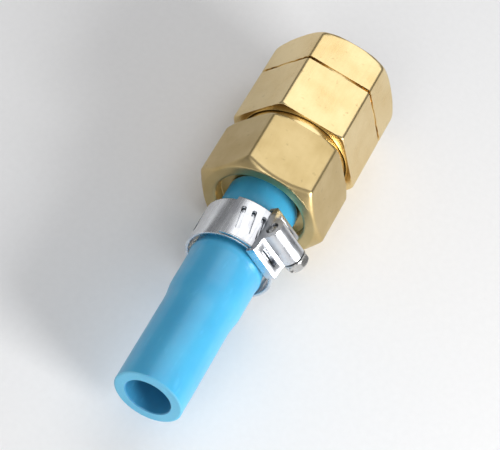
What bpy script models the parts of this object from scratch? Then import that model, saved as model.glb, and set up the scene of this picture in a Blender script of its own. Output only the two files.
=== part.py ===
"""Quick disconnect coupler on a hose end: a ball-locked socket with a sliding hexagonal sleeve.

Sizes are in millimetres along the coupler's axis. Along runs from the rear hexagon's rear face (0)
towards the mouth, and radii are measured from the axis. The axis lies along +X, above the flats
that the coupler rests on.
"""

import math

import bmesh
import bpy
from mathutils import Matrix, Vector

MM = 0.001
FULL_TURN = 2 * math.pi

# Driving dimensions, in millimetres
ACROSS_FLATS = 21.0
TURNED_OVER_HEX = 12.6  # a turned radius that clears the hexagon's corners
CONNECTOR_LENGTH = 12.4
BARB_TIP = -22.0
BARB_COUNT = 4
BARB_PITCH = 4.2
NOSE = 34.5
MOUTH_RADIUS = 5.9
TUBE_RADIUS = 7.7
NECK_RADIUS = 9.75
NECK_FRONT = 15.4
CHAMBER_RADIUS = 6.2
SEAT_REAR = 19.9
SEAT_RADIUS = 4.3
SEAL_GROOVE = (22.0, 24.5)
SEAL_GROOVE_RADIUS = 6.9
RING_GROOVE = (33.05, 33.95)
RING_GROOVE_RADIUS = 7.2

SLEEVE_REAR = 14.4
SLEEVE_FRONT = 34.0
SLEEVE_LAND_RADIUS = 7.85
SLEEVE_SHOULDER = 23.6
SPRING_BORE_RADIUS = 9.3
SKIRT_BORE_RADIUS = 9.9  # clears the neck while the sleeve slides over it
GRIP_GROOVE_RADIUS = 10.3
RELEASE_TRAVEL = 1.8

BALL_COUNT = 6
BALL_RADIUS = 1.5
BALL_ALONG = 27.2
BALL_PITCH_RADIUS = 6.6
BALL_LIFT = 0.85
CONE_SLOPE = BALL_LIFT / RELEASE_TRAVEL
CONE_RADIUS_AT_BALL = 8.32
CONE_FRONT = 30.0
RECESS_FRONT = 32.2
LIP_FRONT = 33.0

HOSE_RADIUS = 6.0
HOSE_BORE_RADIUS = 4.0
HOSE_RADIUS_ON_BARB = 6.45
HOSE_BORE_ON_BARB = 4.75
HOSE_FRONT = 2.2
HOSE_REAR = -42.0

CLAMP_ALONG = -8.6
CLAMP_TILT = math.radians(37)  # the housing leans from the top towards -Y
BAND_WIDTH = 8.0
BAND_THICKNESS = 0.6
BAND_BORE_RADIUS = 6.75
BAND_RISE = 0.85  # radius gained in a turn, so that the tail lies over the start
WORM_RADIUS = 1.6
WORM_HEIGHT = 9.97  # screw axis above the hose's axis
HOUSING_HALF = 3.3  # half of its length round the hose

ROUND = 36
SMALL_ROUND = 24
MIDDLE = (NOSE + HOSE_REAR) / 2

# name: (linear colour, roughness, metallic)
FINISHES = {
    "brass": ((0.60, 0.41, 0.17), 0.25, 1.0),
    "dark_brass": ((0.45, 0.30, 0.12), 0.35, 1.0),
    "steel": ((0.55, 0.56, 0.58), 0.3, 1.0),
    "spring_steel": ((0.40, 0.40, 0.42), 0.35, 1.0),
    "rubber": ((0.02, 0.02, 0.02), 0.7, 0.0),
    "blue_hose": ((0.07, 0.45, 0.75), 0.4, 0.0),
    "zinc": ((0.62, 0.63, 0.66), 0.3, 1.0),
}


def clear_scene():
    for obj in list(bpy.data.objects):
        bpy.data.objects.remove(obj, do_unlink=True)


def make_finish(name):
    colour, roughness, metallic = FINISHES[name]
    finish = bpy.data.materials.new(name)
    finish.use_nodes = True
    shader = finish.node_tree.nodes["Principled BSDF"]
    shader.inputs["Base Color"].default_value = (*colour, 1.0)
    shader.inputs["Roughness"].default_value = roughness
    shader.inputs["Metallic"].default_value = metallic
    finish.diffuse_color = (*colour, 1.0)
    return finish


def make_empty(name, parent=None):
    empty = bpy.data.objects.new(name, None)
    empty.parent = parent
    bpy.context.scene.collection.objects.link(empty)
    return empty


def make_object(name, bm, parent, finish=None, smooth=True):
    """Turns the bmesh, in millimetres, into an object of its own."""
    bmesh.ops.recalc_face_normals(bm, faces=bm.faces)
    bm.transform(Matrix.Scale(MM, 4))
    mesh = bpy.data.meshes.new(name)
    bm.to_mesh(mesh)
    bm.free()
    if smooth:
        mesh.shade_smooth()
        mesh.set_sharp_from_angle(angle=math.radians(25))
    obj = bpy.data.objects.new(name, mesh)
    obj.parent = parent
    bpy.context.scene.collection.objects.link(obj)
    if finish:
        mesh.materials.append(finish)
    return obj


def at_angle(along, radius, angle):
    """Angles run from the top (+Z) towards +Y."""
    return Vector((along, radius * math.sin(angle), radius * math.cos(angle)))


def turn_outline(bm, outline, segments=ROUND, start=0.0, sweep=FULL_TURN, rise=0.0):
    """Sweeps a closed (along, radius) outline about X. Rise adds radius in each full turn."""
    closed = abs(sweep) >= FULL_TURN and not rise
    steps = segments if closed else segments + 1
    sections = []
    for step in range(steps):
        angle = start + sweep * step / segments
        lift = rise * (angle - start) / FULL_TURN
        ring = [bm.verts.new(at_angle(along, radius + lift, angle)) for along, radius in outline]
        sections.append(ring)
    count = len(outline)
    for step in range(segments):
        ring = sections[step]
        following = sections[(step + 1) % steps]
        for i in range(count):
            j = (i + 1) % count
            bm.faces.new((ring[i], ring[j], following[j], following[i]))
    if not closed:
        bm.faces.new(sections[0])
        bm.faces.new(sections[-1])
    bmesh.ops.remove_doubles(bm, verts=bm.verts, dist=1e-4)


def turned(name, outline, parent, finish=None, **sweep):
    bm = bmesh.new()
    turn_outline(bm, outline, **sweep)
    return make_object(name, bm, parent, finish)


def circle_outline(along, radius, wire_radius, sides=8):
    turns = [FULL_TURN * side / sides for side in range(sides)]
    return [(along + wire_radius * math.cos(t), radius + wire_radius * math.sin(t)) for t in turns]


def rod_outline(start, end, radius):
    return [(start, 0.0), (start, radius), (end, radius), (end, 0.0)]


def add_cutter(obj, cutter, operation="DIFFERENCE"):
    cutter.hide_render = True
    cutter.display_type = "WIRE"
    boolean = obj.modifiers.new(cutter.name, "BOOLEAN")
    boolean.object = cutter
    boolean.operation = operation
    boolean.solver = "EXACT"


def make_hexagon(name, start, end, parent):
    """A hexagonal bar about X with its flats at the top and bottom."""
    bm = bmesh.new()
    corner = ACROSS_FLATS / math.sqrt(3)
    turn_outline(bm, rod_outline(start, end, corner), segments=6, start=math.radians(30))
    return make_object(name, bm, parent, smooth=False)


def make_box(name, low, high, parent):
    bm = bmesh.new()
    size = Vector(high) - Vector(low)
    middle = (Vector(low) + Vector(high)) / 2
    bmesh.ops.create_cube(bm, size=1.0)
    bm.transform(Matrix.Translation(middle) @ Matrix.Diagonal((*size, 1.0)))
    return make_object(name, bm, parent, smooth=False)


def radial_rods(name, outline, count, parent):
    """Copies of a turned rod whose own along is the distance from the axis."""
    bm = bmesh.new()
    for index in range(count):
        rod = bmesh.new()
        turn_outline(rod, outline, segments=16)
        angle = FULL_TURN * index / count
        rod.transform(Matrix.Rotation(-angle, 4, "X") @ Matrix.Rotation(-math.pi / 2, 4, "Y"))
        loose = bpy.data.meshes.new("rod")
        rod.to_mesh(loose)
        rod.free()
        bm.from_mesh(loose)
        bpy.data.meshes.remove(loose)
    return make_object(name, bm, parent)


def make_coil(name, start, end, mean_radius, wire_radius, turns, parent, finish, steps=14):
    """A compression spring from start to end, over its wire."""
    curve = bpy.data.curves.new(name, "CURVE")
    curve.dimensions = "3D"
    curve.bevel_depth = wire_radius * MM
    curve.bevel_resolution = 1
    curve.use_fill_caps = True
    count = round(turns * steps) + 1
    spline = curve.splines.new("POLY")
    spline.points.add(count - 1)
    first = start + wire_radius
    last = end - wire_radius
    for index in range(count):
        done = index / (count - 1)
        point = at_angle(first + (last - first) * done, mean_radius, turns * FULL_TURN * done)
        spline.points[index].co = (*(point * MM), 1.0)
    curve.materials.append(finish)
    obj = bpy.data.objects.new(name, curve)
    obj.parent = parent
    bpy.context.scene.collection.objects.link(obj)
    return obj


def barb_outline():
    """The hose stem's outside, from its tip to the floor of the hexagon's recess."""
    outline = [(BARB_TIP, 3.5)]
    for ridge in range(BARB_COUNT):
        start = BARB_TIP + BARB_PITCH * ridge
        outline.append((start + 0.2, 3.7))
        outline.append((start + 3.7, 4.5))
        outline.append((start + 3.9, 3.7))
    outline.append((2.5, 3.9))
    return outline


def make_rear_connector(axis, hexagon, finishes):
    """The rear hexagon with a barbed hose stem, and a bore at the front for the socket's thread."""
    outline = barb_outline()
    outline += [(2.5, 8.1), (0.4, 8.1), (0.0, 8.5)]
    outline += [(0.0, 10.4), (1.6, TURNED_OVER_HEX)]
    outline += [(CONNECTOR_LENGTH - 1.0, TURNED_OVER_HEX), (CONNECTOR_LENGTH, 11.5)]
    outline += [(CONNECTOR_LENGTH, 8.2), (5.0, 8.2), (5.0, 5.6), (3.7, 3.0), (BARB_TIP, 3.0)]
    connector = turned("rear_connector", outline, axis, finishes["brass"])
    add_cutter(connector, hexagon, "INTERSECT")


def make_socket_body(axis, finishes):
    """The tube that takes the plug, with its thread spigot, neck, ball holes and grooves."""
    neck_rear = CONNECTOR_LENGTH + 0.3
    outline = [(6.3, 7.9), (neck_rear, 7.9), (neck_rear, NECK_RADIUS), (NECK_FRONT, NECK_RADIUS)]
    outline += [(NECK_FRONT, TUBE_RADIUS), (RING_GROOVE[0], TUBE_RADIUS)]
    outline += [(RING_GROOVE[0], RING_GROOVE_RADIUS), (RING_GROOVE[1], RING_GROOVE_RADIUS)]
    outline += [(RING_GROOVE[1], TUBE_RADIUS), (NOSE - 0.3, TUBE_RADIUS), (NOSE, TUBE_RADIUS - 0.3)]
    outline += [(NOSE, MOUTH_RADIUS + 0.6), (NOSE - 0.6, MOUTH_RADIUS)]
    outline += [(SEAL_GROOVE[1], MOUTH_RADIUS), (SEAL_GROOVE[1], SEAL_GROOVE_RADIUS)]
    outline += [(SEAL_GROOVE[0], SEAL_GROOVE_RADIUS), (SEAL_GROOVE[0], SEAT_RADIUS)]
    outline += [(SEAT_REAR, SEAT_RADIUS), (SEAT_REAR, CHAMBER_RADIUS), (6.3, CHAMBER_RADIUS)]
    body = turned("socket_body", outline, axis, finishes["brass"])
    hole = [(5.4, 0.0), (5.4, 1.15), (MOUTH_RADIUS, 1.4), (6.45, 1.6), (8.2, 1.6), (8.2, 0.0)]
    holes = radial_rods("ball_holes", hole, BALL_COUNT, axis)
    holes.location.x = BALL_ALONG * MM
    add_cutter(body, holes)


def cone_radius(along):
    return CONE_RADIUS_AT_BALL + CONE_SLOPE * (along - BALL_ALONG)


def make_release_sleeve(axis, hexagon, finishes):
    """The hexagonal sleeve: a spring bore, a land, the balls' cone and recess, and the front lip."""
    cone_rear = BALL_ALONG - (CONE_RADIUS_AT_BALL - SLEEVE_LAND_RADIUS) / CONE_SLOPE
    recess_radius = cone_radius(CONE_FRONT)
    skirt_front = NECK_FRONT + RELEASE_TRAVEL + 0.2
    outline = [(SLEEVE_REAR, 11.9), (SLEEVE_REAR + 0.4, TURNED_OVER_HEX)]
    outline += [(25.9, TURNED_OVER_HEX), (26.0, GRIP_GROOVE_RADIUS)]
    outline += [(26.5, GRIP_GROOVE_RADIUS), (26.6, TURNED_OVER_HEX)]
    outline += [(31.8, TURNED_OVER_HEX), (33.0, 11.9), (33.7, 11.1), (SLEEVE_FRONT, 10.3)]
    outline += [(SLEEVE_FRONT, 9.0), (LIP_FRONT, 9.0), (LIP_FRONT, SLEEVE_LAND_RADIUS)]
    outline += [(RECESS_FRONT, SLEEVE_LAND_RADIUS), (RECESS_FRONT, recess_radius)]
    outline += [(CONE_FRONT, recess_radius), (cone_rear, SLEEVE_LAND_RADIUS)]
    outline += [(SLEEVE_SHOULDER, SLEEVE_LAND_RADIUS), (SLEEVE_SHOULDER, SPRING_BORE_RADIUS)]
    outline += [(skirt_front, SPRING_BORE_RADIUS), (skirt_front, SKIRT_BORE_RADIUS)]
    outline += [(SLEEVE_REAR, SKIRT_BORE_RADIUS)]
    sleeve = turned("release_sleeve", outline, axis, finishes["brass"])
    add_cutter(sleeve, hexagon, "INTERSECT")


def make_retaining_ring(axis, finishes):
    """An open snap ring in the nose's groove, which the sleeve's lip rests against."""
    outline = [(33.12, 7.35), (33.12, 8.7), (33.85, 8.7), (33.85, 7.35)]
    gap = math.radians(24)
    turned(
        "retaining_ring",
        outline,
        axis,
        finishes["spring_steel"],
        start=gap / 2,
        sweep=FULL_TURN - gap,
    )


def make_balls(axis, finishes):
    for index in range(BALL_COUNT):
        bm = bmesh.new()
        bmesh.ops.create_uvsphere(bm, u_segments=14, v_segments=8, radius=BALL_RADIUS)
        ball = make_object(f"locking_ball_{index + 1}", bm, axis, finishes["steel"])
        angle = FULL_TURN * index / BALL_COUNT
        ball.location = at_angle(BALL_ALONG, BALL_PITCH_RADIUS, angle) * MM
        ball.rotation_euler.x = -angle


def make_seals(axis, finishes):
    lip = [(22.25, 6.7), (22.25, 5.6), (22.6, 5.1), (23.25, 4.95), (23.9, 5.1), (24.25, 5.6)]
    lip.append((24.25, 6.7))
    turned("plug_seal", lip, axis, finishes["rubber"], segments=SMALL_ROUND)
    gasket = [(5.25, 6.5), (5.25, 7.9), (6.0, 7.9), (6.0, 6.5)]
    turned("body_seal", gasket, axis, finishes["rubber"], segments=SMALL_ROUND)
    ring = circle_outline(19.15, 4.4, 0.6)
    turned("valve_seal", ring, axis, finishes["rubber"], segments=SMALL_ROUND)


def make_valve(axis, finishes):
    """The poppet that shuts the socket, its guide, and the spring between them."""
    outline = [(5.6, 0.0), (5.6, 1.9), (5.9, 2.2), (17.3, 2.2), (17.3, 5.2), (18.4, 5.2)]
    outline += [(18.4, 3.5), (22.7, 3.5), (23.0, 3.2), (23.0, 1.9), (20.5, 1.9), (20.0, 0.0)]
    poppet = turned("valve_poppet", outline, axis, finishes["dark_brass"], segments=SMALL_ROUND)
    upright = make_box("crown_slot_upright", (21.4, -0.7, -4.0), (24.0, 0.7, 4.0), axis)
    level = make_box("crown_slot_level", (21.4, -4.0, -0.7), (24.0, 4.0, 0.7), axis)
    add_cutter(poppet, upright)
    add_cutter(poppet, level)

    ring = [(5.3, 2.6), (5.3, 6.0), (7.0, 6.0), (7.0, 2.6)]
    guide = turned("valve_guide", ring, axis, finishes["dark_brass"], segments=SMALL_ROUND)
    bm = bmesh.new()
    for index in range(6):
        centre = at_angle(6.0, 4.6, FULL_TURN * (index + 0.5) / 6)
        turn = Matrix.Rotation(math.pi / 2, 4, "Y")
        bmesh.ops.create_cone(
            bm,
            cap_ends=True,
            segments=10,
            radius1=0.85,
            radius2=0.85,
            depth=4.0,
            matrix=Matrix.Translation(centre) @ turn,
        )
    add_cutter(guide, make_object("guide_holes", bm, axis))
    make_coil("valve_spring", 7.3, 17.0, 3.3, 0.3, 6.0, axis, finishes["spring_steel"], steps=12)


def make_sleeve_spring(axis, finishes):
    rear = NECK_FRONT + 0.3
    front = SLEEVE_SHOULDER - 0.3
    make_coil("sleeve_spring", rear, front, 8.5, 0.4, 3.5, axis, finishes["spring_steel"], steps=18)


def make_hose_end(axis, finishes):
    """A square-cut hose end, stretched where it is pushed over the barbs."""
    outline = [(HOSE_REAR, HOSE_BORE_RADIUS), (HOSE_REAR, HOSE_RADIUS), (-24.5, HOSE_RADIUS)]
    outline += [(-20.5, HOSE_RADIUS_ON_BARB), (HOSE_FRONT - 0.4, HOSE_RADIUS_ON_BARB)]
    outline += [(HOSE_FRONT, HOSE_RADIUS_ON_BARB - 0.25), (HOSE_FRONT, HOSE_BORE_ON_BARB)]
    outline += [(-21.8, HOSE_BORE_ON_BARB), (-25.0, HOSE_BORE_RADIUS)]
    turned("hose_end", outline, axis, finishes["blue_hose"])


def make_clamp_band(clamp, finishes):
    """A strip wound once round the hose, with its tail over its start under the housing."""
    half = BAND_WIDTH / 2
    outer = BAND_BORE_RADIUS + BAND_THICKNESS
    outline = [(-half, BAND_BORE_RADIUS), (-half, outer), (half, outer), (half, BAND_BORE_RADIUS)]
    turned(
        "clamp_band",
        outline,
        clamp,
        finishes["zinc"],
        segments=45,
        start=math.radians(-25),
        sweep=math.radians(450),
        rise=BAND_RISE,
    )


def housing_outline():
    """The housing's end view, as (along, height): two legs, sloped shoulders and a round top."""
    leg = BAND_WIDTH / 2 + 0.9
    top_radius = WORM_RADIUS + 0.55
    outline = [(leg, 6.95), (leg, 8.7)]
    for step in range(9):
        angle = math.radians(10 + 20 * step)
        outline.append((top_radius * math.cos(angle), WORM_HEIGHT + top_radius * math.sin(angle)))
    outline += [(-leg, 8.7), (-leg, 6.95)]
    return outline


def make_clamp_housing(clamp, finishes):
    """The saddle over the band that holds the worm screw."""
    bm = bmesh.new()
    ends = []
    for side in (-HOUSING_HALF, HOUSING_HALF):
        ends.append([bm.verts.new((along, side, height)) for along, height in housing_outline()])
    bm.faces.new(ends[0])
    bm.faces.new(ends[1])
    count = len(ends[0])
    for i in range(count):
        j = (i + 1) % count
        bm.faces.new((ends[0][i], ends[0][j], ends[1][j], ends[1][i]))
    housing = make_object("clamp_housing", bm, clamp, finishes["zinc"])
    half = BAND_WIDTH / 2 + 0.3
    add_cutter(housing, turned("band_passage", rod_outline(-half, half, 8.55), clamp))
    pocket = turned("worm_pocket", rod_outline(-2.5, 2.5, WORM_RADIUS + 0.25), clamp, segments=16)
    shank = turned("shank_hole", rod_outline(-5.0, 5.0, 1.15), clamp, segments=16)
    for cutter in (pocket, shank):
        lay_along_screw(cutter)
        add_cutter(housing, cutter)


def lay_along_screw(obj):
    """Puts a piece turned about its own X on the screw's axis, with its +X end towards the head."""
    obj.location.z = WORM_HEIGHT * MM
    obj.rotation_euler.z = -math.pi / 2


def make_clamp_screw(clamp, finishes):
    """The worm screw: a grooved thread on a shank, and a slotted hexagonal head."""
    outline = [(-3.1, 0.0), (-3.1, 0.75), (-2.9, 0.95), (-2.3, 0.95)]
    teeth = 4
    pitch = 4.6 / teeth
    for tooth in range(teeth):
        start = -2.3 + pitch * tooth
        outline.append((start + 0.1, 1.15))
        outline.append((start + 0.35, WORM_RADIUS))
        outline.append((start + 0.75, WORM_RADIUS))
        outline.append((start + 1.0, 1.15))
    outline += [(2.35, 0.95), (4.2, 0.95), (4.2, 0.0)]
    screw = turned("clamp_screw", outline, clamp, finishes["zinc"], segments=16)
    lay_along_screw(screw)
    head_outline = [(3.6, 0.0), (3.6, 2.2), (5.1, 2.2), (5.4, 1.8), (5.4, 0.0)]
    head = turned("screw_head", head_outline, clamp, segments=6)
    lay_along_screw(head)
    add_cutter(screw, head, "UNION")
    slot = make_box("screw_slot", (4.5, -3.0, -0.35), (6.0, 3.0, 0.35), clamp)
    lay_along_screw(slot)
    add_cutter(screw, slot)


def main():
    clear_scene()
    finishes = {name: make_finish(name) for name in FINISHES}
    axis = make_empty("coupler_axis")
    axis.location = (-MIDDLE * MM, 0.0, ACROSS_FLATS / 2 * MM)
    clamp = make_empty("clamp_axis", axis)
    clamp.location.x = CLAMP_ALONG * MM
    clamp.rotation_euler.x = CLAMP_TILT
    hexagon = make_hexagon("hexagon_bar", BARB_TIP - 5, NOSE + 5, axis)
    make_rear_connector(axis, hexagon, finishes)
    make_socket_body(axis, finishes)
    make_release_sleeve(axis, hexagon, finishes)
    make_retaining_ring(axis, finishes)
    make_balls(axis, finishes)
    make_seals(axis, finishes)
    make_valve(axis, finishes)
    make_sleeve_spring(axis, finishes)
    make_hose_end(axis, finishes)
    make_clamp_band(clamp, finishes)
    make_clamp_housing(clamp, finishes)
    make_clamp_screw(clamp, finishes)


main()
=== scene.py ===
"""The looks of the quick disconnect coupler: fine brass, steel, rubber and hose pieces on the frame.

Sizes are in millimetres in the coupler's own axes: along runs from the rear hexagon's rear face
towards the mouth, radii are measured from the axis, and angles run from the top (+Z) towards +Y.
"""

import math

import bmesh
import bpy
from mathutils import Matrix, Vector


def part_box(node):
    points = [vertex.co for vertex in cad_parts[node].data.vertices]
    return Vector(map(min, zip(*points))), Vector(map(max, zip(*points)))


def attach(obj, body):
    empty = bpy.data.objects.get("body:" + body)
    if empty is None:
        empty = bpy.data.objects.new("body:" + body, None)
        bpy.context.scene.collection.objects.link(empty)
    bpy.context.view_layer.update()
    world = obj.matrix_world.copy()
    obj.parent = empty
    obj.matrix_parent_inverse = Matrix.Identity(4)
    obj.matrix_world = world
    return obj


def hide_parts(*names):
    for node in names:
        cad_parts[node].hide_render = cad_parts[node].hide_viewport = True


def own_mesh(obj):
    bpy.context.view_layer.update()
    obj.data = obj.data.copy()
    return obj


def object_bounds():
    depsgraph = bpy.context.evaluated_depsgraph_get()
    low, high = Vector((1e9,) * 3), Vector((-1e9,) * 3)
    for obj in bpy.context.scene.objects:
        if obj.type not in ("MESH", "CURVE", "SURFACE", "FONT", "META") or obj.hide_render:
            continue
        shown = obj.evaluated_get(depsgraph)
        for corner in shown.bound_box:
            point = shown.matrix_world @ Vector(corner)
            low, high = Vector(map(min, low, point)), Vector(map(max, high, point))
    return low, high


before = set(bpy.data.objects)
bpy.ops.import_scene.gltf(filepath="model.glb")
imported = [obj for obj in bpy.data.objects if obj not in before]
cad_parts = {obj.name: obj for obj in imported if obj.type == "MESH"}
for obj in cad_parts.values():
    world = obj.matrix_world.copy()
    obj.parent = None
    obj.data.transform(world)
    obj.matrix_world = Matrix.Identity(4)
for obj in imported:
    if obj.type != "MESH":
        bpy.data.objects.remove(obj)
CAD_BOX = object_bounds()

MM = 0.001
FULL_TURN = 2 * math.pi

# Places read from the frame
CONNECTOR_LOW, CONNECTOR_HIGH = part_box("rear_connector")
HOSE_LOW, HOSE_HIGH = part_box("hose_end")
SLEEVE_LOW, SLEEVE_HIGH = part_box("release_sleeve")
CONNECTOR_LENGTH = 12.4
AXIS_HEIGHT = (CONNECTOR_LOW[2] + CONNECTOR_HIGH[2]) / 2
ORIGIN = Vector((CONNECTOR_HIGH[0] - CONNECTOR_LENGTH * MM, 0.0, AXIS_HEIGHT))
APOTHEM = (CONNECTOR_HIGH[2] - CONNECTOR_LOW[2]) / 2 / MM


def along_of(x):
    return (x - ORIGIN.x) / MM


SLEEVE_REAR = along_of(SLEEVE_LOW[0])
SLEEVE_FRONT = along_of(SLEEVE_HIGH[0])
HOSE_REAR = along_of(HOSE_LOW[0])
HOSE_FRONT = along_of(HOSE_HIGH[0])
NOSE = along_of(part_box("socket_body")[1][0])
BARB_TIP = along_of(CONNECTOR_LOW[0])
CLAMP_ALONG = (along_of(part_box("clamp_band")[0][0]) + along_of(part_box("clamp_band")[1][0])) / 2
CLAMP_TILT = math.radians(37)

# The CAD's own sizes, in millimetres
RELEASE_TRAVEL = 1.8
NECK_RADIUS = 9.75
NECK_FRONT = 15.4
TUBE_RADIUS = 7.7
MOUTH_RADIUS = 5.9
SLEEVE_LAND_RADIUS = 7.85
SPRING_BORE_RADIUS = 9.3
SKIRT_BORE_RADIUS = 9.9
GRIP_GROOVE_RADIUS = 10.3
BALL_COUNT = 6
BALL_RADIUS = 1.5
BALL_ALONG = 27.2
BALL_PITCH_RADIUS = 6.6
BALL_LIFT = 0.85
CONE_SLOPE = BALL_LIFT / RELEASE_TRAVEL
CONE_RADIUS_AT_BALL = 8.32
CONE_FRONT = 30.0
BARB_COUNT = 4
BARB_PITCH = 4.2
SLEEVE_SPRING_ENDS = (15.7, 23.3)
VALVE_SPRING_ENDS = (7.3, 17.0)
HOSE_RADIUS = 6.0
HOSE_RADIUS_ON_STEM = 6.4
HOSE_BORE_RADIUS = 4.0
HOSE_BORE_ON_STEM = 4.75
WORM_HEIGHT = 9.97
WORM_RADIUS = 1.6
HOUSING_HALF = 3.3
BAND_WIDTH = 8.0
BAND_BORE_RADIUS = 6.75
BAND_THICKNESS = 0.6
BAND_RISE = 0.85
BAND_START = math.radians(-25)
BAND_SWEEP = math.radians(450)

# Finer sizes of the visual pieces, in millimetres
CLEAR_OF_HEX = 12.9  # a turned radius beyond the hexagon's corners
TURNED_BLEND = 0.5  # softens the line where a turned face meets a flat
CORNER_BLEND = 0.55  # softens the hexagon's corners
BRASS_FILLET = 0.22
LONGEST_STEP = 0.6


# ---------------------------------------------------------------- materials


class Nodes:
    """A short way to build a material's node tree."""

    def __init__(self, name):
        self.material = bpy.data.materials.new(name)
        self.material.use_nodes = True
        self.tree = self.material.node_tree
        self.shader = self.tree.nodes["Principled BSDF"]
        self.coords = self.tree.nodes.new("ShaderNodeTexCoord").outputs["Object"]

    def link(self, source, target):
        self.tree.links.new(source, target)

    def mapped(self, scale, rotation=(0, 0, 0)):
        node = self.tree.nodes.new("ShaderNodeMapping")
        node.inputs["Scale"].default_value = scale
        node.inputs["Rotation"].default_value = rotation
        self.link(self.coords, node.inputs["Vector"])
        return node.outputs["Vector"]

    def noise(self, vector, scale, detail=4.0, roughness=0.55):
        node = self.tree.nodes.new("ShaderNodeTexNoise")
        node.inputs["Scale"].default_value = scale
        node.inputs["Detail"].default_value = detail
        node.inputs["Roughness"].default_value = roughness
        self.link(vector, node.inputs["Vector"])
        return node.outputs["Fac"]

    def ramp(self, factor, stops):
        """Stops are (place, grey level or colour)."""
        node = self.tree.nodes.new("ShaderNodeValToRGB")
        elements = node.color_ramp.elements
        while len(elements) < len(stops):
            elements.new(0.5)
        for element, (place, level) in zip(elements, stops):
            element.position = place
            element.color = (*level, 1.0) if isinstance(level, tuple) else (level, level, level, 1.0)
        self.link(factor, node.inputs["Fac"])
        return node.outputs["Color"]

    def maths(self, operation, first, second):
        node = self.tree.nodes.new("ShaderNodeMath")
        node.operation = operation
        for socket, value in zip(node.inputs, (first, second)):
            if isinstance(value, (int, float)):
                socket.default_value = value
            else:
                self.link(value, socket)
        return node.outputs[0]

    def mix(self, factor, first, second):
        node = self.tree.nodes.new("ShaderNodeMix")
        node.data_type = "RGBA"
        self.link(factor, node.inputs["Factor"])
        for name, value in (("A", first), ("B", second)):
            socket = [s for s in node.inputs if s.name == name and s.type == "RGBA"][0]
            if isinstance(value, tuple):
                socket.default_value = (*value, 1.0)
            else:
                self.link(value, socket)
        return [s for s in node.outputs if s.type == "RGBA"][0]

    def bump(self, height, strength, distance=0.0002, under=None):
        node = self.tree.nodes.new("ShaderNodeBump")
        node.inputs["Strength"].default_value = strength
        node.inputs["Distance"].default_value = distance
        self.link(height, node.inputs["Height"])
        if under:
            self.link(under, node.inputs["Normal"])
        return node.outputs["Normal"]

    def radius(self):
        """Distance from the X axis of the object's own coordinates."""
        parts = self.tree.nodes.new("ShaderNodeSeparateXYZ")
        self.link(self.coords, parts.inputs["Vector"])
        square_y = self.maths("MULTIPLY", parts.outputs["Y"], parts.outputs["Y"])
        square_z = self.maths("MULTIPLY", parts.outputs["Z"], parts.outputs["Z"])
        return parts.outputs["X"], self.maths("SQRT", self.maths("ADD", square_y, square_z), 0.0)

    def set(self, name, value):
        socket = self.shader.inputs[name]
        if isinstance(value, (int, float)):
            socket.default_value = value
        elif isinstance(value, tuple):
            socket.default_value = (*value, 1.0)
        else:
            self.link(value, socket)


def turned_rings(nodes):
    """Fine lathe lines: noise that only changes along the axis and with the radius."""
    along, radius = nodes.radius()
    place = nodes.tree.nodes.new("ShaderNodeCombineXYZ")
    nodes.link(along, place.inputs["X"])
    nodes.link(radius, place.inputs["Y"])
    return nodes.noise(place.outputs["Vector"], 5200.0, detail=3.0, roughness=0.6)


def brass(name, light, deep, lines, rough=(0.2, 0.3)):
    """Bare brass with a faint tarnish. Lines is turned or drawn."""
    nodes = Nodes(name)
    cloud = nodes.noise(nodes.coords, 160.0, detail=6.0)
    fine = nodes.noise(nodes.coords, 1400.0, detail=4.0)
    colour = nodes.mix(nodes.ramp(cloud, [(0.35, 0.0), (0.72, 1.0)]), light, deep)
    specks = nodes.ramp(nodes.noise(nodes.coords, 900.0, detail=2.0), [(0.66, 0.0), (0.78, 0.45)])
    colour = nodes.mix(specks, colour, tuple(0.55 * c for c in deep))
    if lines == "turned":
        grain = turned_rings(nodes)
    else:
        grain = nodes.noise(nodes.mapped((60.0, 2600.0, 2600.0)), 1.0, detail=5.0)
    mixed = nodes.maths("ADD", nodes.maths("MULTIPLY", cloud, 0.5), nodes.maths("MULTIPLY", grain, 0.5))
    nodes.set("Base Color", colour)
    nodes.set("Metallic", 1.0)
    nodes.set("Roughness", nodes.ramp(mixed, [(0.3, rough[0]), (0.7, rough[1])]))
    normal = nodes.bump(grain, 0.05, 0.00005)
    nodes.set("Normal", nodes.bump(fine, 0.05, 0.0001, under=normal))
    return nodes.material


def steel(name, colour, dark, rough, grain_scale=(500.0, 500.0, 500.0), bump=0.1):
    nodes = Nodes(name)
    grain = nodes.noise(nodes.mapped(grain_scale), 1.0, detail=5.0)
    cloud = nodes.noise(nodes.coords, 420.0, detail=4.0)
    nodes.set("Base Color", nodes.mix(nodes.ramp(cloud, [(0.35, 0.0), (0.75, 1.0)]), colour, dark))
    nodes.set("Metallic", 1.0)
    nodes.set("Roughness", nodes.ramp(grain, [(0.3, rough[0]), (0.7, rough[1])]))
    nodes.set("Normal", nodes.bump(grain, bump, 0.00008))
    return nodes.material


def rubber(name):
    nodes = Nodes(name)
    grain = nodes.noise(nodes.coords, 2500.0, detail=4.0)
    dust = nodes.noise(nodes.coords, 300.0, detail=5.0)
    nodes.set("Base Color", nodes.mix(nodes.ramp(dust, [(0.4, 0.0), (0.8, 1.0)]), (0.012,) * 3, (0.05,) * 3))
    nodes.set("Roughness", nodes.ramp(grain, [(0.3, 0.45), (0.7, 0.7)]))
    nodes.set("Normal", nodes.bump(grain, 0.12, 0.0001))
    return nodes.material


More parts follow.
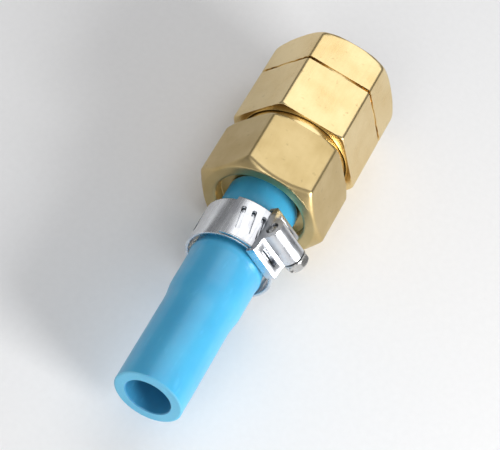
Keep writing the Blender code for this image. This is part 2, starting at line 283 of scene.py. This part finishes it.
def hose_plastic(name, light, deep, rough, streak):
    """Extruded blue hose: streaks along its length, faint cloudiness, a soft gloss."""
    nodes = Nodes(name)
    lines = nodes.noise(nodes.mapped((25.0, streak, streak)), 1.0, detail=4.0)
    cloud = nodes.noise(nodes.coords, 130.0, detail=5.0)
    scuffs = nodes.noise(nodes.mapped((260.0, 900.0, 900.0), (0.0, 0.0, 0.4)), 1.0, detail=7.0)
    colour = nodes.mix(nodes.ramp(cloud, [(0.3, 0.0), (0.75, 1.0)]), light, deep)
    pale = tuple(min(1.0, 1.15 * c + 0.04) for c in light)
    colour = nodes.mix(nodes.ramp(scuffs, [(0.6, 0.0), (0.74, 0.35)]), colour, pale)
    nodes.set("Base Color", colour)
    nodes.set("Roughness", nodes.ramp(scuffs, [(0.3, rough[0]), (0.7, rough[1])]))
    nodes.set("Normal", nodes.bump(lines, 0.08, 0.0002))
    nodes.set("Subsurface Weight", 0.12)
    nodes.set("Subsurface Scale", 0.002)
    nodes.set("Coat Weight", 0.25)
    nodes.set("Coat Roughness", 0.18)
    return nodes.material


PALE_BRASS = (0.82, 0.65, 0.35)
DEEP_BRASS = (0.73, 0.54, 0.25)
# The rear hexagon's brass: the same brass made darker, and duller.
REAR_PALE = (0.62, 0.48, 0.24)
REAR_DEEP = (0.53, 0.39, 0.17)
DULL = (0.28, 0.4)
MATERIALS = {
    "turned_brass": brass("turned_brass", PALE_BRASS, DEEP_BRASS, "turned"),
    "drawn_brass": brass("drawn_brass", PALE_BRASS, DEEP_BRASS, "drawn"),
    "rear_turned_brass": brass("rear_turned_brass", REAR_PALE, REAR_DEEP, "turned", DULL),
    "rear_drawn_brass": brass("rear_drawn_brass", REAR_PALE, REAR_DEEP, "drawn", DULL),
    "inner_brass": brass("inner_brass", (0.74, 0.53, 0.27), (0.55, 0.37, 0.16), "turned", (0.25, 0.45)),
    "ball_steel": steel("ball_steel", (0.78, 0.79, 0.81), (0.62, 0.63, 0.66), (0.06, 0.16), bump=0.02),
    "spring_steel": steel("spring_steel", (0.55, 0.54, 0.52), (0.34, 0.33, 0.32), (0.22, 0.42)),
    "zinc_band": steel("zinc_band", (0.80, 0.82, 0.84), (0.62, 0.63, 0.67), (0.16, 0.36), (60, 1800, 1800)),
    "zinc_pressed": steel("zinc_pressed", (0.76, 0.78, 0.81), (0.58, 0.60, 0.64), (0.2, 0.4)),
    "screw_zinc": steel("screw_zinc", (0.74, 0.74, 0.72), (0.52, 0.51, 0.50), (0.2, 0.42)),
    "seal_rubber": rubber("seal_rubber"),
    "hose_blue": hose_plastic("hose_blue", (0.075, 0.47, 0.76), (0.055, 0.40, 0.69), (0.28, 0.46), 900.0),
    "hose_cut": hose_plastic("hose_cut", (0.16, 0.55, 0.78), (0.10, 0.45, 0.70), (0.5, 0.7), 2400.0),
    # The bore: a darker copy of the hose plastic, a painted shade inside the tube.
    "hose_bore_painted_shade": hose_plastic("hose_bore_painted_shade", (0.05, 0.30, 0.52), (0.03, 0.22, 0.42), (0.35, 0.5), 900.0),
}


# ---------------------------------------------------------------- shapes


def at_angle(along, radius, angle):
    return Vector((along, radius * math.sin(angle), radius * math.cos(angle)))


def smooth_least(a, b, blend):
    """The smaller of two lengths, rounded over where they come within blend of each other."""
    near = max(blend - abs(a - b), 0.0) / blend
    return min(a, b) - near * near * blend / 4


def hex_radius(angle, blend):
    """Distance from the axis to a hexagon with flats at the top and bottom, its edges eased."""
    sixth = math.pi / 3
    off = abs((angle + sixth / 2) % sixth - sixth / 2)
    return smooth_least(APOTHEM / math.cos(off), APOTHEM / math.cos(sixth - off), blend)


def hex_angles(per_side=26):
    """Angles round a hexagon, closer together near its corners."""
    angles = []
    for side in range(6):
        for step in range(per_side):
            even = step / per_side * 2 - 1
            crowded = math.copysign(1 - (1 - abs(even)) ** 1.6, even)
            angles.append((side + crowded / 2) * math.pi / 3)
    return angles


def even_angles(count):
    return [FULL_TURN * step / count for step in range(count)]


def eased_corner(before, corner, after, size, steps=4):
    """Points that round one corner of an outline."""
    start = Vector(corner) + (Vector(before) - Vector(corner)).normalized() * size
    end = Vector(corner) + (Vector(after) - Vector(corner)).normalized() * size
    points = []
    for step in range(steps + 1):
        t = step / steps
        point = start * (1 - t) ** 2 + Vector(corner) * (2 * t * (1 - t)) + end * t**2
        points.append((point.x, point.y))
    return points


def eased(outline, size=0.12, closed=True):
    """The outline with each corner rounded, by no more than a third of its shorter side."""
    points = []
    count = len(outline)
    for i, corner in enumerate(outline):
        if not closed and i in (0, count - 1):
            points.append(corner)
            continue
        before = outline[i - 1]
        after = outline[(i + 1) % count]
        shorter = min((Vector(before) - Vector(corner)).length, (Vector(after) - Vector(corner)).length)
        points += eased_corner(before, corner, after, min(size, shorter / 3))
    return points


def subdivided(outline, longest):
    """The closed outline with its long sides split, so that no side is over longest."""
    points = []
    for i, start in enumerate(outline):
        end = outline[(i + 1) % len(outline)]
        span = Vector(end) - Vector(start)
        parts = max(1, math.ceil(span.length / longest))
        for part in range(parts):
            point = Vector(start) + span * (part / parts)
            points.append((point.x, point.y))
    return points


def finish_piece(name, bm, materials, sharp=38.0):
    """Makes an object from a bmesh in millimetres, with its faces turned out and shaded smooth."""
    bmesh.ops.remove_doubles(bm, verts=bm.verts, dist=1e-5)
    bmesh.ops.recalc_face_normals(bm, faces=bm.faces)
    bm.transform(Matrix.Scale(MM, 4))
    mesh = bpy.data.meshes.new(name)
    bm.to_mesh(mesh)
    bm.free()
    mesh.shade_smooth()
    mesh.set_sharp_from_angle(angle=math.radians(sharp))
    for material in materials:
        mesh.materials.append(MATERIALS[material])
    obj = bpy.data.objects.new(name, mesh)
    bpy.context.scene.collection.objects.link(obj)
    obj.location = ORIGIN
    return obj


def sweep_rings(bm, rings, closed=True, caps=False):
    """Joins rings of points, each a closed outline, into a skin. Returns rows of faces."""
    made = [[bm.verts.new(point) for point in ring] for ring in rings]
    rows = []
    pairs = len(made) if closed else len(made) - 1
    for i in range(pairs):
        ring = made[i]
        following = made[(i + 1) % len(made)]
        count = len(ring)
        row = []
        for j in range(count):
            k = (j + 1) % count
            row.append(bm.faces.new((ring[j], ring[k], following[k], following[j])))
        rows.append(row)
    if caps:
        bm.faces.new(made[0])
        bm.faces.new(made[-1])
    return rows


def turned(name, outline, materials, count=144, start=0.0, sweep=FULL_TURN, rise=0.0, sharp=38.0):
    """A closed (along, radius) outline turned about the axis, or an open sweep of it with caps."""
    closed = abs(sweep) >= FULL_TURN and not rise
    steps = count if closed else count + 1
    rings = []
    for step in range(steps):
        angle = start + sweep * step / count
        lift = rise * (angle - start) / FULL_TURN
        rings.append([at_angle(along, radius + lift, angle) for along, radius in outline])
    bm = bmesh.new()
    sweep_rings(bm, rings, closed=closed, caps=not closed)
    return finish_piece(name, bm, materials, sharp)


def hexagonal(name, outline, materials):
    """A turned outline whose outside is cut to the hexagon, with eased edges.

    Turned faces get the first material, and the flats get the second.
    """
    rings = []
    flats = []
    for angle in hex_angles():
        limit = hex_radius(angle, CORNER_BLEND)
        ring = []
        flat = []
        for along, radius in outline:
            reach = smooth_least(radius, limit, TURNED_BLEND)
            ring.append(at_angle(along, reach, angle))
            flat.append(radius > limit)
        rings.append(ring)
        flats.append(flat)
    bm = bmesh.new()
    rows = sweep_rings(bm, rings)
    for i, row in enumerate(rows):
        for j, face in enumerate(row):
            face.material_index = int(flats[i][j] and flats[i][(j + 1) % len(row)])
    return finish_piece(name, bm, materials, sharp=50.0)


def cut(obj, *cutters):
    """Cuts the cutters out of obj for good, and removes them."""
    for cutter in cutters:
        boolean = obj.modifiers.new("cut", "BOOLEAN")
        boolean.object = cutter
        boolean.operation = "DIFFERENCE"
        boolean.solver = "EXACT"
    apply_modifiers(obj)
    for cutter in cutters:
        bpy.data.objects.remove(cutter, do_unlink=True)


def apply_modifiers(obj):
    graph = bpy.context.evaluated_depsgraph_get()
    made = bpy.data.meshes.new_from_object(obj.evaluated_get(graph), depsgraph=graph)
    obj.modifiers.clear()
    obj.data = made


def bevel(obj, width, segments=2, angle=35.0):
    """Eases the edges that are sharper than the angle, and shades the piece smooth again."""
    modifier = obj.modifiers.new("bevel", "BEVEL")
    modifier.width = width * MM
    modifier.segments = segments
    modifier.limit_method = "ANGLE"
    modifier.angle_limit = math.radians(angle)
    modifier.harden_normals = True
    modifier.use_clamp_overlap = True
    apply_modifiers(obj)


def rod(name, start, end, radius, count=48):
    """A plain solid rod about the axis, for cutting."""
    return turned(name, [(start, 0.0), (start, radius), (end, radius), (end, 0.0)], [], count)


def block(name, low, high):
    bm = bmesh.new()
    bmesh.ops.create_cube(bm, size=1.0)
    size = Vector(high) - Vector(low)
    bm.transform(Matrix.Translation((Vector(low) + Vector(high)) / 2) @ Matrix.Diagonal((*size, 1.0)))
    return finish_piece(name, bm, [])


def coil_points(start, end, radius, turns, ground, steps):
    """A compression spring's centre line, with its first and last turns closed up."""
    dead = 0.9
    live = turns - 2 * dead
    pitch = (end - start - 2 * dead * ground) / live
    points = []
    for step in range(round(turns * steps) + 1):
        turn = step / steps
        first = min(turn, dead)
        middle = min(max(turn - dead, 0.0), live)
        last = max(turn - dead - live, 0.0)
        points.append(at_angle(start + ground * (first + last) + pitch * middle, radius, turn * FULL_TURN))
    return points


def tube_rings(points, radius, sides):
    """Rings of points round a path that winds about the axis."""
    rings = []
    for i, point in enumerate(points):
        ahead = points[min(i + 1, len(points) - 1)] - points[max(i - 1, 0)]
        ahead.normalize()
        out = Vector((0.0, point.y, point.z)).normalized()
        side = ahead.cross(out).normalized()
        out = side.cross(ahead)
        ring = []
        for step in range(sides):
            turn = FULL_TURN * step / sides
            ring.append(point + out * (radius * math.cos(turn)) + side * (radius * math.sin(turn)))
        rings.append(ring)
    return rings


def coil(name, start, end, radius, wire, turns, steps=40, sides=12):
    bm = bmesh.new()
    points = coil_points(start + wire, end - wire, radius, turns, 2.1 * wire, steps)
    sweep_rings(bm, tube_rings(points, wire, sides), closed=False, caps=True)
    return finish_piece(name, bm, ["spring_steel"], sharp=60.0)


def place(piece, body, slot, *nodes):
    """The piece moves with the body and stands for the CAD nodes. The slot is not used."""
    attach(piece, body)
    if nodes:
        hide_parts(*nodes)
    return piece


# ---------------------------------------------------------------- brass pieces


def barbs():
    """The stem's ridges, each a long ramp with a rounded crest and a steep front."""
    outline = [(BARB_TIP, 3.45)]
    for ridge in range(BARB_COUNT):
        start = BARB_TIP + BARB_PITCH * ridge
        outline += [(start + 0.15, 3.7), (start + 3.6, 4.48)]
        outline += [(start + 3.75, 4.46), (start + 3.95, 3.72)]
    return outline


def make_rear_connector():
    outline = barbs() + [(2.5, 3.9), (2.5, 8.1), (0.45, 8.1), (0.0, 8.55)]
    outline += [(0.0, 10.3), (1.6, CLEAR_OF_HEX - 0.4)]
    outline += [(CONNECTOR_LENGTH - 1.0, CLEAR_OF_HEX - 0.4), (CONNECTOR_LENGTH, 11.4)]
    outline += [(CONNECTOR_LENGTH, 8.3), (CONNECTOR_LENGTH - 0.5, 8.05)]
    outline += [(5.0, 8.05), (5.0, 5.6), (3.7, 3.0), (BARB_TIP, 3.0)]
    outline = subdivided(eased(outline, BRASS_FILLET), LONGEST_STEP)
    connector = hexagonal("rear_hexagon", outline, ["rear_turned_brass", "rear_drawn_brass"])
    place(connector, "coupler_body", "brass", "rear_connector")


def make_release_sleeve():
    cone_radius = CONE_RADIUS_AT_BALL + CONE_SLOPE * (CONE_FRONT - BALL_ALONG)
    cone_rear = BALL_ALONG - (CONE_RADIUS_AT_BALL - SLEEVE_LAND_RADIUS) / CONE_SLOPE
    skirt_front = NECK_FRONT + RELEASE_TRAVEL + 0.2
    land = SLEEVE_LAND_RADIUS
    groove = GRIP_GROOVE_RADIUS
    bore = SPRING_BORE_RADIUS
    skirt = SKIRT_BORE_RADIUS
    outline = [(SLEEVE_REAR, 11.8), (SLEEVE_REAR + 0.4, CLEAR_OF_HEX - 0.4)]
    outline += [(25.92, CLEAR_OF_HEX), (26.0, groove), (26.5, groove), (26.58, CLEAR_OF_HEX)]
    outline += [(31.8, 12.6), (33.0, 11.8), (33.7, 11.0), (SLEEVE_FRONT, 10.2)]
    outline += [(SLEEVE_FRONT, 9.0), (33.0, 9.0), (33.0, land), (32.2, land)]
    outline += [(32.2, cone_radius), (CONE_FRONT, cone_radius), (cone_rear, land)]
    outline += [(23.6, land), (23.6, bore), (skirt_front, bore)]
    outline += [(skirt_front, skirt), (SLEEVE_REAR, skirt)]
    outline = subdivided(eased(outline, BRASS_FILLET), LONGEST_STEP)
    sleeve = hexagonal("hexagonal_sleeve", outline, ["turned_brass", "drawn_brass"])
    place(sleeve, "sleeve", "brass", "release_sleeve")


def ball_hole(index):
    """A cutter for one ball's tapered hole, pointing out from the axis."""
    outline = [(5.2, 0.0), (5.2, 1.15), (5.9, 1.4), (6.45, 1.6), (8.2, 1.6), (8.2, 0.0)]
    cutter = turned(f"ball_hole_{index}", outline, [], 40)
    turn = Matrix.Rotation(-FULL_TURN * index / BALL_COUNT, 4, "X")
    outward = Matrix.Rotation(-math.pi / 2, 4, "Y")
    spot = Matrix.Translation(ORIGIN + Vector((BALL_ALONG * MM, 0.0, 0.0)))
    cutter.matrix_world = spot @ turn @ outward
    return cutter


def make_socket_body():
    neck_rear = CONNECTOR_LENGTH + 0.3
    tube = TUBE_RADIUS
    outline = [(6.3, 7.9), (neck_rear, 7.9), (neck_rear, NECK_RADIUS), (NECK_FRONT, NECK_RADIUS)]
    outline += [(NECK_FRONT, tube), (33.05, tube)]
    outline += [(33.05, 7.2), (33.95, 7.2), (33.95, tube), (NOSE - 0.3, tube), (NOSE, 7.4)]
    outline += [(NOSE, 6.5), (NOSE - 0.6, MOUTH_RADIUS), (24.5, MOUTH_RADIUS)]
    outline += [(24.5, 6.9), (22.0, 6.9)]
    outline += [(22.0, 4.6), (21.7, 4.3), (19.9, 4.3), (19.9, 6.2), (6.3, 6.2)]
    body = turned("socket_tube", eased(outline, 0.12), ["turned_brass"], 120)
    bpy.context.view_layer.update()
    cut(body, *[ball_hole(index) for index in range(BALL_COUNT)])
    body.data.shade_smooth()
    body.data.set_sharp_from_angle(angle=math.radians(35))
    place(body, "coupler_body", "brass", "socket_body")


# ---------------------------------------------------------------- inner pieces


def make_retaining_ring():
    outline = eased([(33.12, 7.35), (33.12, 8.7), (33.85, 8.7), (33.85, 7.35)], 0.18)
    gap = math.radians(24)
    ring = turned("snap_ring", outline, ["spring_steel"], 120, gap / 2, FULL_TURN - gap)
    place(ring, "coupler_body", "spring_steel", "retaining_ring")


def make_balls():
    for index in range(BALL_COUNT):
        bm = bmesh.new()
        bmesh.ops.create_icosphere(bm, subdivisions=4, radius=BALL_RADIUS)
        spot = at_angle(BALL_ALONG, BALL_PITCH_RADIUS, FULL_TURN * index / BALL_COUNT)
        bm.transform(Matrix.Translation(spot))
        ball = finish_piece(f"steel_ball_{index + 1}", bm, ["ball_steel"], sharp=80.0)
        place(ball, f"ball_{index + 1}", "ball_steel", f"locking_ball_{index + 1}")


def make_seals():
    lip = [(22.25, 6.7), (22.25, 5.6), (22.6, 5.1), (23.25, 4.95), (23.9, 5.1), (24.25, 5.6)]
    lip.append((24.25, 6.7))
    seal = turned("plug_lip_seal", eased(lip, 0.25), ["seal_rubber"], 120)
    place(seal, "coupler_body", "rubber", "plug_seal")
    gasket = eased([(5.25, 6.5), (5.25, 7.9), (6.0, 7.9), (6.0, 6.5)], 0.15)
    flat = turned("flat_gasket", gasket, ["seal_rubber"], 96)
    place(flat, "coupler_body", "rubber", "body_seal")
    turns = even_angles(20)
    section = [(19.15 + 0.6 * math.cos(t), 4.4 + 0.6 * math.sin(t)) for t in turns]
    o_ring = turned("valve_o_ring", section, ["seal_rubber"], 96)
    place(o_ring, "valve", "rubber", "valve_seal")


def make_valve():
    outline = [(5.6, 0.0), (5.6, 1.8), (6.0, 2.2), (17.3, 2.2), (17.3, 5.0), (17.5, 5.2)]
    outline += [(18.2, 5.2), (18.4, 5.0), (18.4, 3.5), (22.6, 3.5), (23.0, 3.15), (23.0, 2.05)]
    outline += [(22.85, 1.9), (20.5, 1.9), (20.0, 0.0)]
    poppet = turned("poppet", outline, ["inner_brass"], 72)
    upright = block("slot_upright", (21.4, -0.7, -4.0), (24.0, 0.7, 4.0))
    level = block("slot_level", (21.4, -4.0, -0.7), (24.0, 4.0, 0.7))
    cut(poppet, upright, level)
    bevel(poppet, 0.06, 2)
    place(poppet, "valve", "dark_brass", "valve_poppet")

    ring = eased([(5.3, 2.6), (5.3, 6.0), (7.0, 6.0), (7.0, 2.6)], 0.15)
    guide = turned("stem_guide", ring, ["inner_brass"], 72)
    cutters = []
    for index in range(6):
        hole = rod(f"guide_hole_{index}", 4.0, 8.0, 0.85, 24)
        spot = at_angle(0.0, 4.6, FULL_TURN * (index + 0.5) / 6)
        hole.location = ORIGIN + spot * MM
        cutters.append(hole)
    bpy.context.view_layer.update()
    cut(guide, *cutters)
    place(guide, "coupler_body", "dark_brass", "valve_guide")


def squash_spring(spring):
    """Gives the spring a mesh of its own."""
    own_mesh(spring)


def make_springs():
    sleeve_spring = coil("sleeve_coil", *SLEEVE_SPRING_ENDS, 8.5, 0.4, 3.9, 64)
    place(sleeve_spring, "sleeve_turner", "spring_steel", "sleeve_spring")
    squash_spring(sleeve_spring)
    valve_spring = coil("valve_coil", *VALVE_SPRING_ENDS, 3.3, 0.3, 6.8, 40)
    place(valve_spring, "coupler_body", "spring_steel", "valve_spring")
    squash_spring(valve_spring)


# ---------------------------------------------------------------- hose and clamp


def hose_outside(along):
    """The hose's outer radius: round, swollen over the stem, and pinched under the clamp."""
    swell = min(max((along + 24.5) / 4.0, 0.0), 1.0)
    swell = swell * swell * (3 - 2 * swell)
    radius = HOSE_RADIUS + (HOSE_RADIUS_ON_STEM - HOSE_RADIUS) * swell
    off = abs(along - CLAMP_ALONG) - BAND_WIDTH / 2
    if off < 0:
        radius -= 0.12 * min(1.0, -off / 0.6)
    elif off < 1.6:
        radius += 0.16 * math.sin(math.pi * off / 1.6)
    return radius


def hose_outline():
    """(along, radius) round the hose's wall, with the material of the side that each point starts."""
    points = []
    steps = 150
    rear = HOSE_REAR + 0.15
    front = HOSE_FRONT - 0.3
    points.append((HOSE_REAR, 5.82, 1))
    for step in range(steps + 1):
        along = rear + (front - rear) * step / steps
        points.append((along, hose_outside(along), 0))
    points.append((HOSE_FRONT - 0.08, hose_outside(front) - 0.12, 1))
    points.append((HOSE_FRONT, hose_outside(front) - 0.3, 1))
    points.append((HOSE_FRONT, 4.95, 1))
    points.append((HOSE_FRONT - 0.2, HOSE_BORE_ON_STEM, 2))
    narrowing = [(-21.8, HOSE_BORE_ON_STEM), (-22.8, 4.6), (-24.2, 4.15), (-25.0, HOSE_BORE_RADIUS)]
    for along, radius in narrowing:
        points.append((along, radius, 2))
    for step in range(1, 30):
        points.append((-25.0 + (rear + 25.0) * step / 30, HOSE_BORE_RADIUS, 2))
    points.append((rear, HOSE_BORE_RADIUS, 2))
    points.append((HOSE_REAR, 4.15, 1))
    for step in range(1, 8):
        points.append((HOSE_REAR, 4.15 + (5.82 - 4.15) * step / 8, 1))
    return points


def make_hose():
    points = hose_outline()
    rings = []
    for angle in even_angles(120):
        rings.append([at_angle(along, radius, angle) for along, radius, _ in points])
    bm = bmesh.new()
    for row in sweep_rings(bm, rings):
        for face, (_, _, material) in zip(row, points):
            face.material_index = material
    hose = finish_piece("blue_hose", bm, ["hose_blue", "hose_cut", "hose_bore_painted_shade"], sharp=40.0)
    place(hose, "coupler_body", "blue_hose", "hose_end")


def on_clamp(obj, matrix=None):
    """Puts a piece made in the clamp's own frame in place: its middle, leaning to one side."""
    spot = Matrix.Translation((CLAMP_ALONG * MM, 0.0, 0.0))
    turn = Matrix.Rotation(CLAMP_TILT, 4, "X")
    obj.data.transform(spot @ turn @ (matrix or Matrix.Identity(4)))
    obj.location = ORIGIN
    return obj


def along_screw():
    """From a piece turned about its own X to the screw's axis, with its +X end at the head."""
    lift = Matrix.Translation((0.0, 0.0, WORM_HEIGHT * MM))
    return lift @ Matrix.Rotation(-math.pi / 2, 4, "Z")


def band_radius(angle):
    return BAND_BORE_RADIUS + BAND_RISE * (angle - BAND_START) / FULL_TURN


def slot_cutter():
    """Cutters for the band's slanted slots, which the worm's thread runs in."""
    bm = bmesh.new()
    slant = math.radians(9)
    pitch = math.radians(13.2)
    first = math.radians(120)
    last = BAND_START + BAND_SWEEP - math.radians(8)
    half_length = 2.45
    half_width = 0.42
    angle = first
    while angle < last:
        middle = band_radius(angle) + BAND_THICKNESS / 2
        low = middle - 0.42
        high = middle + 0.6
        corners = []
        for step in range(16):
            turn = FULL_TURN * step / 16
            shift = half_length - half_width
            across = half_width * math.cos(turn) + math.copysign(shift, math.cos(turn))
            corners.append((across, half_width * math.sin(turn)))
        ends = []
        for height in (low, high):
            ring = []
            for across, round_it in corners:
                turned_across = across * math.cos(slant) - round_it * math.sin(slant)
                turned_round = across * math.sin(slant) + round_it * math.cos(slant)
                point = Vector((turned_across, turned_round, height))
                point.rotate(Matrix.Rotation(-angle, 3, "X"))
                ring.append(point)
            ends.append(ring)
        sweep_rings(bm, ends, closed=False, caps=True)
        angle += pitch
    return finish_piece("band_slots", bm, [])


def make_clamp_band():
    half = BAND_WIDTH / 2
    outer = BAND_BORE_RADIUS + BAND_THICKNESS
    outline = [(-half, BAND_BORE_RADIUS), (-half, outer), (half, outer), (half, BAND_BORE_RADIUS)]
    band = turned(
        "slotted_band", eased(outline, 0.2), ["zinc_band"], 240, BAND_START, BAND_SWEEP, BAND_RISE
    )
    cut(band, slot_cutter())
    band.data.shade_smooth()
    band.data.set_sharp_from_angle(angle=math.radians(35))
    on_clamp(band)
    place(band, "coupler_body", "zinc", "clamp_band")


def housing_end_view():
    """The saddle's end view, as (along, height)."""
    leg = BAND_WIDTH / 2 + 0.88
    top = WORM_RADIUS + 0.54
    outline = [(leg, 6.97), (leg, 8.65), (leg - 0.35, 8.9), (top + 0.55, 9.15), (top + 0.1, 9.45)]
    for step in range(17):
        angle = math.radians(10 + 10 * step)
        outline.append((top * math.cos(angle), WORM_HEIGHT + top * math.sin(angle)))
    outline += [(-x, h) for x, h in reversed(outline[:5])]
    return outline


def make_clamp_housing():
    bm = bmesh.new()
    outline = housing_end_view()
    ends = [[(x, side, h) for x, h in outline] for side in (-HOUSING_HALF, HOUSING_HALF)]
    sweep_rings(bm, ends, closed=False, caps=True)
    housing = finish_piece("worm_housing", bm, ["zinc_pressed"])
    half = BAND_WIDTH / 2 + 0.3
    passage = rod("band_passage", -half, half, 8.55, 96)
    pocket = rod("worm_pocket", -2.5, 2.5, WORM_RADIUS + 0.25)
    shank = rod("shank_hole", -5.0, 5.0, 1.15)
    windows = []
    for side in (-1, 1):
        windows.append(block("side_window", (side * 3.5 - 0.5, -1.9, 8.0), (side * 3.5 + 0.5, 1.9, 10.2)))
    for piece in (pocket, shank):
        piece.location = (0.0, 0.0, WORM_HEIGHT * MM)
        piece.rotation_euler.z = -math.pi / 2
    for piece in (housing, passage, *windows):
        piece.location = (0.0, 0.0, 0.0)
    bpy.context.view_layer.update()
    cut(housing, passage, pocket, shank, *windows)
    bevel(housing, 0.13, 3, 30.0)
    on_clamp(housing)
    place(housing, "coupler_body", "zinc", "clamp_housing")


def worm_radius(along, turn):
    """The screw's radius at a place along it: plain ends, and a rounded helical thread between."""
    if along < -2.3 or along > 2.3:
        return 0.95
    pitch = 1.15
    phase = (along / pitch - turn / FULL_TURN) % 1.0
    ridge = 0.5 - 0.5 * math.cos(FULL_TURN * phase)
    ease = min(1.0, (2.3 - abs(along)) / 0.35)
    return 0.95 + (0.2 + (WORM_RADIUS - 1.15) * ridge**0.7) * ease


def make_clamp_worm():
    """The worm thread on its shank."""
    steps = 150
    rings = []
    for step in range(steps + 1):
        along = -3.1 + (4.0 + 3.1) * step / steps
        chamfer = min(1.0, 0.75 + (along + 3.1))
        ring = []
        for turn in even_angles(48):
            ring.append(at_angle(along, worm_radius(along, turn) * chamfer, turn))
        rings.append(ring)
    bm = bmesh.new()
    sweep_rings(bm, rings, closed=False, caps=True)
    screw = finish_piece("worm_screw", bm, ["screw_zinc"], sharp=60.0)
    screw.location = (0.0, 0.0, 0.0)
    on_clamp(screw, along_screw())
    place(screw, "worm", "zinc", "clamp_screw")


def make_screw_head():
    """A slotted hexagonal head with a washer face."""
    outline = [(3.6, 0.0), (3.6, 2.15), (3.85, 2.2), (4.0, 1.95), (4.1, 2.3), (4.9, 2.3), (5.4, 1.75)]
    outline.append((5.4, 0.0))
    rings = []
    sixth = math.pi / 3
    apothem = 1.9
    for angle in even_angles(96):
        off = abs((angle + sixth / 2) % sixth - sixth / 2)
        limit = smooth_least(apothem / math.cos(off), apothem / math.cos(sixth - off), 0.12)
        ring = []
        for along, radius in subdivided(eased(outline, 0.08, closed=False), 0.25):
            flat = smooth_least(radius, limit, 0.1) if along > 3.95 else radius
            ring.append(at_angle(along, max(flat, 0.0), angle))
        rings.append(ring)
    bm = bmesh.new()
    sweep_rings(bm, rings)
    head = finish_piece("screw_head", bm, ["screw_zinc"], sharp=40.0)
    head.location = (0.0, 0.0, 0.0)
    slot = block("driver_slot", (4.55, -3.0, -0.35), (6.0, 3.0, 0.35))
    slot.location = (0.0, 0.0, 0.0)
    bpy.context.view_layer.update()
    cut(head, slot)
    head.data.shade_smooth()
    head.data.set_sharp_from_angle(angle=math.radians(35))
    on_clamp(head, along_screw())
    place(head, "worm", "zinc")


# ---------------------------------------------------------------- stage, light and camera


def paper(name):
    nodes = Nodes(name)
    fibres = nodes.noise(nodes.coords, 900.0, detail=3.0)
    nodes.set("Base Color", nodes.ramp(fibres, [(0.2, (0.86, 0.86, 0.86)), (0.8, (0.89, 0.89, 0.89))]))
    nodes.set("Roughness", 0.8)
    return nodes.material


def make_floor():
    bm = bmesh.new()
    bmesh.ops.create_grid(bm, x_segments=2, y_segments=2, size=3.0)
    mesh = bpy.data.meshes.new("floor")
    bm.to_mesh(mesh)
    bm.free()
    mesh.materials.append(paper("floor_paper"))
    floor = bpy.data.objects.new("floor", mesh)
    bpy.context.scene.collection.objects.link(floor)


def add_softbox(name, towards, distance, size, power):
    light = bpy.data.lights.new(name, "AREA")
    light.shape = "RECTANGLE"
    light.size, light.size_y = size
    light.energy = power
    obj = bpy.data.objects.new(name, light)
    bpy.context.scene.collection.objects.link(obj)
    direction = Vector(towards).normalized()
    obj.location = ORIGIN + direction * distance
    obj.rotation_euler = direction.to_track_quat("Z", "Y").to_euler()


def make_world():
    world = bpy.data.worlds.new("studio")
    bpy.context.scene.world = world
    world.use_nodes = True
    tree = world.node_tree
    background = tree.nodes["Background"]
    coords = tree.nodes.new("ShaderNodeTexCoord")
    parts = tree.nodes.new("ShaderNodeSeparateXYZ")
    ramp = tree.nodes.new("ShaderNodeValToRGB")
    ramp.color_ramp.elements[0].position = 0.0
    ramp.color_ramp.elements[0].color = (0.32, 0.32, 0.32, 1.0)
    ramp.color_ramp.elements[1].position = 0.9
    ramp.color_ramp.elements[1].color = (0.9, 0.9, 0.92, 1.0)
    tree.links.new(coords.outputs["Generated"], parts.inputs["Vector"])
    tree.links.new(parts.outputs["Z"], ramp.inputs["Fac"])
    tree.links.new(ramp.outputs["Color"], background.inputs["Color"])
    background.inputs["Strength"].default_value = 0.48


VIEW_FROM = Vector((-0.574, 0.0, 0.819)).normalized()
AXIS_RISE = math.radians(59.3)  # how steeply the coupler's axis rises in the picture


def make_camera():
    """Looks down on the upper flats from behind, rolled so that the mouth points up and right."""
    across = Vector((0.0, -1.0, 0.0))
    axis_in_view = across.cross(VIEW_FROM) * -1
    right = axis_in_view * math.cos(AXIS_RISE) + across * math.sin(AXIS_RISE)
    up = VIEW_FROM.cross(right)
    data = bpy.data.cameras.new("camera")
    data.lens = 150.0
    data.sensor_width = 36.0
    data.clip_start = 0.01
    camera = bpy.data.objects.new("camera", data)
    bpy.context.scene.collection.objects.link(camera)
    low, high = (Vector(corner) for corner in CAD_BOX)
    target = (low + high) / 2
    distance = 0.35
    turn = Matrix((right, up, VIEW_FROM)).transposed().to_4x4()
    camera.matrix_world = Matrix.Translation(target + VIEW_FROM * distance) @ turn
    bpy.context.scene.camera = camera


def main():
    make_camera()
    make_rear_connector()
    make_release_sleeve()
    make_socket_body()
    make_retaining_ring()
    make_balls()
    make_seals()
    make_valve()
    make_springs()
    make_hose()
    make_clamp_band()
    make_clamp_housing()
    make_clamp_worm()
    make_screw_head()
    make_floor()
    make_world()
    add_softbox("top_softbox", (0.574, 0.0, 0.819), 0.5, (0.5, 0.3), 0.54)
    add_softbox("side_softbox", (-0.30, -0.85, 0.36), 0.45, (0.22, 0.16), 2.0)
    add_softbox("rear_softbox", (-0.8, 0.1, 0.6), 0.6, (0.3, 0.3), 0.7)
    bpy.context.scene.view_settings.view_transform = "Standard"


main()
